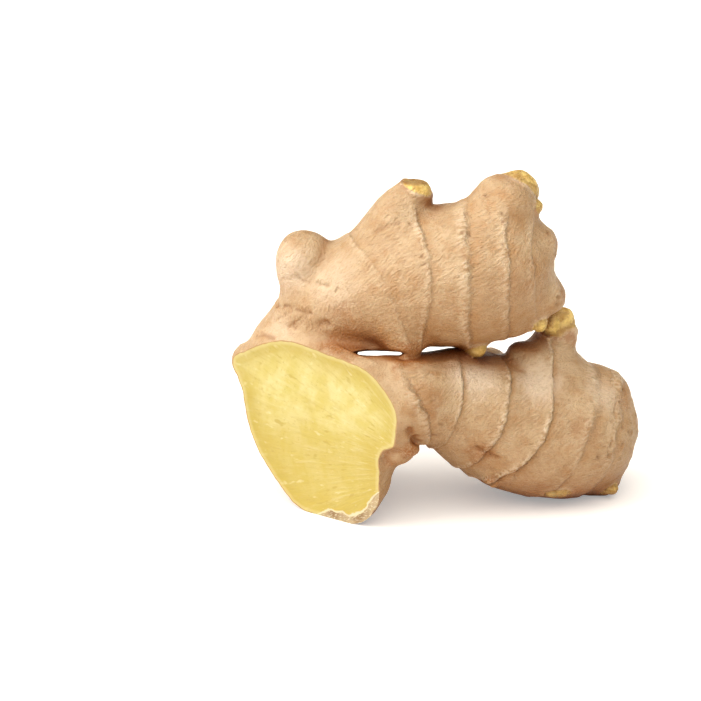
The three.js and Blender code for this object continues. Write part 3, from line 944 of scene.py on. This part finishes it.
# Brown from real stains, and painted shade under the fingers, in the crotch and on the undersides.
tan = blend(tree, product(tree, stain_and_shade_at, between(tree, sand, 0.78, 0.42)), tan, STAIN_AND_SHADE_BROWN)
tan = blend(tree, product(tree, sheath_at, 0.5), tan, RING_PALE)
tan = blend(tree, product(tree, sheath_at, between(tree, patches, 0.45, 0.58), 0.6), tan, STAIN_AND_SHADE_BROWN)
yellow = blend(tree, between(tree, noise(tree, place, 0.45, 4.0, 0.6), 0.38, 0.62), BUD_GOLD, BUD_YELLOW)
yellow = tinted(tree, yellow, [(noise(tree, place, 0.8, 4.0, 0.65), 0.55, 0.68, 0.55, BUD_BROWN)])
yellow = blend(tree, product(tree, named(tree, "bud_edge"), 0.6), yellow, BUD_BROWN)
colour = blend(tree, bud_at, tan, yellow)
# Dry skin turns brown, and so does the painted shade along the creases.
colour = blend(tree, product(tree, dry_and_crease_shade_at, 0.85), colour, DRY_AND_SHADE_BROWN)
# Painted shade: crevices and undersides turn orange, and the deepest crevices dark brown.
shaded = product(tree, between(tree, shade_at, 0.08, 0.55), calc(tree, "MULTIPLY_ADD", bud_at, -0.3, 0.8))
colour = blend(tree, shaded, colour, SHADE_ORANGE)
crevice_shade = product(tree, between(tree, shade_at, 0.4, 0.9), calc(tree, "MULTIPLY_ADD", bud_at, -0.7, 1.0))
colour = blend(tree, crevice_shade, colour, CREVICE_SHADE_BROWN)
tree.links.new(colour, shader.inputs["Base Color"])
dullness = {"Value": streaks, "To Min": SKIN_ROUGHNESS[0], "To Max": SKIN_ROUGHNESS[1]}
rough = add(tree, "ShaderNodeMapRange", dullness).outputs[0]
tree.links.new(calc(tree, "MULTIPLY_ADD", bud_at, -BUD_GLOSS, rough), shader.inputs["Roughness"])
height = product(tree, sand, 0.7)
for value, amount in ((fine, 0.4), (crumple, 1.2), (dry_and_crease_shade_at, -0.4), (lip_line, 0.3), (dark_line, -0.4)):
    height = calc(tree, "MULTIPLY_ADD", value, amount, height)
bump = add(tree, "ShaderNodeBump", {"Height": height, "Strength": 1.0, "Distance": SKIN_BUMP})
tree.links.new(bump.outputs[0], shader.inputs["Normal"])
let_light_in(shader, 0.12, (1.0, 0.5, 0.2), 0.002)
shader.inputs["Specular IOR Level"].default_value = SKIN_SPECULAR

# Flesh: moist lemon yellow with fibres that fan out from one spot beside the face, a pale outer layer,
# a thin brown edge of skin, and torn skin along the foot.
LEMON = (0.565, 0.455, 0.12, 1)
PALE_LEMON = (0.64, 0.55, 0.228, 1)
GOLD = (0.466, 0.336, 0.05, 1)
FIBRE_PALE = (0.7, 0.63, 0.34, 1)
FIBRE_GOLD = (0.43, 0.308, 0.055, 1)
EDGE_BROWN = (0.417, 0.250, 0.096, 1)
TORN_TAN = (0.43, 0.31, 0.165, 1)
TORN_BROWN = (0.28, 0.17, 0.075, 1)
TORN_PALE = (0.68, 0.6, 0.42, 1)

# The fibres meet at a spot across and up from the cut's own point, and lie this far round it.
FIBRE_MEET = np.array([34.0, 26.0])
FIBRE_SPREAD = 30.0

# How dull the flesh is, and the depth of its fibres in metres.
FLESH_ROUGHNESS = 0.42
FLESH_BUMP = 0.00025

flesh, tree, shader = new_material("ginger_flesh")
place = place_in_mm(tree)
upright = np.array([0, 0, 1])
height_at = along(tree, place, upright)
across_at = along(tree, place, CUT_SIDE)
left_of = calc(tree, "SUBTRACT", float(CUT_POINT @ CUT_SIDE + FIBRE_MEET[0]), across_at)
over = calc(tree, "SUBTRACT", height_at, float(FIBRE_MEET[1]))
fan = product(tree, calc(tree, "ARCTAN2", over, left_of), FIBRE_SPREAD)
fibre_run = calc(tree, "SQRT", calc(tree, "MULTIPLY_ADD", over, over, product(tree, left_of, left_of)))
fibre_place = add(tree, "ShaderNodeCombineXYZ", {"X": fan, "Z": fibre_run}).outputs[0]
torn_run = along(tree, place, CUT_SIDE * math.cos(TORN_SLANT) + upright * math.sin(TORN_SLANT))
torn_side = along(tree, place, upright * math.cos(TORN_SLANT) - CUT_SIDE * math.sin(TORN_SLANT))
torn_place = add(tree, "ShaderNodeCombineXYZ", {"X": torn_side, "Z": torn_run}).outputs[0]
grain_here = use_group(tree, grain, {"Vector": fibre_place}).outputs
torn_grain = use_group(tree, grain, {"Vector": torn_place}).outputs
bundles = use_group(tree, specks, {"Vector": fibre_place, "Scale": 0.7}).outputs[0]
uneven = calc(tree, "SUBTRACT", noise(tree, place, 0.35, 3.0), 0.5)
rim_at = calc(tree, "MULTIPLY_ADD", uneven, 0.7, named(tree, "rim"))
torn_at = calc(tree, "MULTIPLY_ADD", uneven, 3.0, named(tree, "torn"))
dashes = noise(tree, stretched(tree, fibre_place, 0.28), 0.75, 2.0)
lemon = blend(tree, between(tree, grain_here["Blotch"], 0.35, 0.65), LEMON, PALE_LEMON)
# Painted shade: the flesh turns gold towards the foot of the face and near its rim.
lemon = tinted(tree, lemon, [
    (height_at, 41.0, 22.0, 0.6, GOLD), (rim_at, 10.0, 1.5, 0.65, GOLD),
    (grain_here["Streaks"], 0.52, 0.72, 0.25, FIBRE_PALE),
    (grain_here["Streaks"], 0.48, 0.3, 0.3, FIBRE_GOLD),
    (grain_here["Fine"], 0.44, 0.28, 0.4, FIBRE_GOLD),
    (dashes, 0.6, 0.72, 0.65, FIBRE_GOLD), (dashes, 0.38, 0.26, 0.5, FIBRE_PALE),
])
lemon = blend(tree, product(tree, bundles, 0.35), lemon, FIBRE_GOLD)
arc = product(tree, between(tree, rim_at, 2.6, 3.2), between(tree, rim_at, 4.2, 3.4))
lemon = blend(tree, product(tree, arc, 0.15), lemon, GOLD)
lemon = tinted(tree, lemon, [(rim_at, 1.9, 0.7, 0.3, FIBRE_PALE)])
lemon = blend(tree, between(tree, rim_at, 0.5, 0.2), lemon, EDGE_BROWN)
shred = blend(tree, between(tree, torn_grain["Blotch"], 0.35, 0.6), TORN_BROWN, TORN_TAN)
shred = tinted(tree, shred, [(torn_grain["Fine"], 0.52, 0.66, 0.75, TORN_PALE)])
lemon = blend(tree, between(tree, torn_at, 0.0, 0.5), lemon, shred)
seam = product(tree, between(tree, torn_at, -0.7, -0.2), between(tree, torn_at, 0.5, 0.1))
lemon = blend(tree, product(tree, seam, 0.8), lemon, TORN_PALE)
tree.links.new(lemon, shader.inputs["Base Color"])
shader.inputs["Roughness"].default_value = FLESH_ROUGHNESS
height = calc(tree, "MULTIPLY_ADD", grain_here["Fine"], 0.4, grain_here["Streaks"])
bump = add(tree, "ShaderNodeBump", {"Height": height, "Strength": 0.7, "Distance": FLESH_BUMP})
tree.links.new(bump.outputs[0], shader.inputs["Normal"])
let_light_in(shader, 0.25, (1.0, 0.6, 0.2), 0.003)

mesh.materials.append(skin)
mesh.materials.append(flesh)

# Stage: a pale floor that glows a little for the camera, an even studio sky, and two broad lights from
# above and from the left, each as its name, way, strength and breadth in degrees.
FLOOR_HALF = 4
FLOOR_COLOUR = (0.88, 0.83, 0.75, 1)
FLOOR_ROUGHNESS = 0.9
FLOOR_GLOW = 0.32
WHITE = (1, 1, 1, 1)
SKY_COLOUR = (1, 0.92, 0.82, 1)
SKY_STRENGTH = 0.2
LIGHTS = [("top_light", (0.05, 0.34, -0.94), 3.3, 80), ("left_light", (0.85, 0.1, -0.5), 2.7, 45)]
CAMERA_LENS = 90
CAMERA_SENSOR = 36
CAMERA_PLACE = (-0.0295, -0.5441, 0.2510)
CAMERA_PITCH = math.radians(70)

floor_corners = [(x * FLOOR_HALF, y * FLOOR_HALF, 0) for x, y in ((-1, -1), (1, -1), (1, 1), (-1, 1))]
floor_mesh = bpy.data.meshes.new("floor")
floor_mesh.from_pydata(floor_corners, [], [(0, 1, 2, 3)])
floor = bpy.data.objects.new("floor", floor_mesh)
bpy.context.collection.objects.link(floor)
paper, tree, shader = new_material("floor_paper")
shader.inputs["Base Color"].default_value = FLOOR_COLOUR
shader.inputs["Roughness"].default_value = FLOOR_ROUGHNESS
shader.inputs["Emission Color"].default_value = WHITE
seen = add(tree, "ShaderNodeLightPath").outputs["Is Camera Ray"]
tree.links.new(product(tree, seen, FLOOR_GLOW), shader.inputs["Emission Strength"])
floor_mesh.materials.append(paper)

world = bpy.data.worlds.new("studio")
bpy.context.scene.world = world
world.use_nodes = True
tree = world.node_tree
sky = tree.nodes["Background"]
sky.inputs["Color"].default_value = SKY_COLOUR
sky.inputs["Strength"].default_value = SKY_STRENGTH
backdrop = add(tree, "ShaderNodeBackground", {"Color": WHITE, "Strength": 1.0})
seen = add(tree, "ShaderNodeLightPath").outputs["Is Camera Ray"]
both = add(tree, "ShaderNodeMixShader", {0: seen, 1: sky.outputs[0], 2: backdrop.outputs[0]})
tree.links.new(both.outputs[0], tree.nodes["World Output"].inputs["Surface"])

for name, way, energy, breadth in LIGHTS:
    light = bpy.data.lights.new(name, "SUN")
    light.energy = energy
    light.angle = math.radians(breadth)
    light_object = bpy.data.objects.new(name, light)
    light_object.rotation_euler = Vector(way).to_track_quat("-Z", "Y").to_euler()
    bpy.context.collection.objects.link(light_object)

camera = bpy.data.cameras.new("camera")
camera.lens = CAMERA_LENS
camera.sensor_width = CAMERA_SENSOR
camera_object = bpy.data.objects.new("camera", camera)
camera_object.location = CAMERA_PLACE
camera_object.rotation_euler = (CAMERA_PITCH, 0, 0)
bpy.context.collection.objects.link(camera_object)
bpy.context.scene.camera = camera_object
bpy.context.scene.view_settings.view_transform = "Standard"

bpy.context.view_layer.update()
